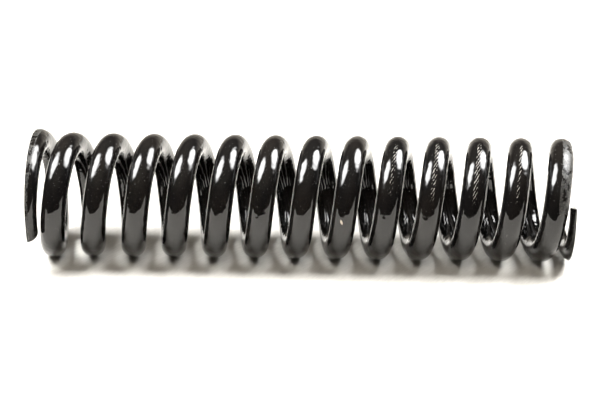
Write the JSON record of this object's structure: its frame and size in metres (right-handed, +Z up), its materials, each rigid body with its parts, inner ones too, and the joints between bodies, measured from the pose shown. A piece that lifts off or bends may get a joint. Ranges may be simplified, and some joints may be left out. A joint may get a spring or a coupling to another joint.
{
  "type": "coil spring",
  "caption": "Left-hand wound helical compression spring of round wire with closed, ground ends and a gloss black coating.",
  "frame": {"origin": "centre of the fixed seat, on the spring's axis in the plane of that end's ground face", "axes": "+X along the spring's axis from the fixed seat to the free seat; +Z up as the spring lies on a surface"},
  "size_m": [0.2173, 0.0543, 0.053],
  "materials": {
    "wire_coating": "thick gloss black coating with small bumps and faint tool marks",
    "end_coating": "gloss black coating that thins to a rough, matte dark grey on the ground seat"
  },
  "bodies": {
    "fixed_end": {"fixed_end_coil": "end_coating"},
    "coil_01": {"coil_01": "wire_coating"},
    "coil_02": {"coil_02": "wire_coating"},
    "coil_03": {"coil_03": "wire_coating"},
    "coil_04": {"coil_04": "wire_coating"},
    "coil_05": {"coil_05": "wire_coating"},
    "coil_06": {"coil_06": "wire_coating"},
    "coil_07": {"coil_07": "wire_coating"},
    "coil_08": {"coil_08": "wire_coating"},
    "coil_09": {"coil_09": "wire_coating"},
    "coil_10": {"coil_10": "wire_coating"},
    "coil_11": {"coil_11": "wire_coating"},
    "free_end": {"free_end_coil": "end_coating"}
  },
  "joints": [
    {"name": "compression", "type": "slide", "parent": "fixed_end", "child": "free_end", "axis": [-1, 0, 0], "range_m": [0, 0.061], "stiffness_N_per_m": 121000},
    {"name": "coil_01_travel", "type": "slide", "parent": "fixed_end", "child": "coil_01", "axis": [-1, 0, 0], "range_m": [0, 0.00277]},
    {"name": "coil_02_travel", "type": "slide", "parent": "fixed_end", "child": "coil_02", "axis": [-1, 0, 0], "range_m": [0, 0.00832]},
    {"name": "coil_03_travel", "type": "slide", "parent": "fixed_end", "child": "coil_03", "axis": [-1, 0, 0], "range_m": [0, 0.01387]},
    {"name": "coil_04_travel", "type": "slide", "parent": "fixed_end", "child": "coil_04", "axis": [-1, 0, 0], "range_m": [0, 0.01941]},
    {"name": "coil_05_travel", "type": "slide", "parent": "fixed_end", "child": "coil_05", "axis": [-1, 0, 0], "range_m": [0, 0.02496]},
    {"name": "coil_06_travel", "type": "slide", "parent": "fixed_end", "child": "coil_06", "axis": [-1, 0, 0], "range_m": [0, 0.0305]},
    {"name": "coil_07_travel", "type": "slide", "parent": "fixed_end", "child": "coil_07", "axis": [-1, 0, 0], "range_m": [0, 0.03605]},
    {"name": "coil_08_travel", "type": "slide", "parent": "fixed_end", "child": "coil_08", "axis": [-1, 0, 0], "range_m": [0, 0.04159]},
    {"name": "coil_09_travel", "type": "slide", "parent": "fixed_end", "child": "coil_09", "axis": [-1, 0, 0], "range_m": [0, 0.04714]},
    {"name": "coil_10_travel", "type": "slide", "parent": "fixed_end", "child": "coil_10", "axis": [-1, 0, 0], "range_m": [0, 0.05268]},
    {"name": "coil_11_travel", "type": "slide", "parent": "fixed_end", "child": "coil_11", "axis": [-1, 0, 0], "range_m": [0, 0.05823]}
  ],
  "couplings": [
    {"joint": "coil_01_travel", "follows": "compression", "ratio": 0.045455},
    {"joint": "coil_02_travel", "follows": "compression", "ratio": 0.13636},
    {"joint": "coil_03_travel", "follows": "compression", "ratio": 0.22727},
    {"joint": "coil_04_travel", "follows": "compression", "ratio": 0.31818},
    {"joint": "coil_05_travel", "follows": "compression", "ratio": 0.40909},
    {"joint": "coil_06_travel", "follows": "compression", "ratio": 0.5},
    {"joint": "coil_07_travel", "follows": "compression", "ratio": 0.59091},
    {"joint": "coil_08_travel", "follows": "compression", "ratio": 0.68182},
    {"joint": "coil_09_travel", "follows": "compression", "ratio": 0.77273},
    {"joint": "coil_10_travel", "follows": "compression", "ratio": 0.86364},
    {"joint": "coil_11_travel", "follows": "compression", "ratio": 0.95454}
  ]
}
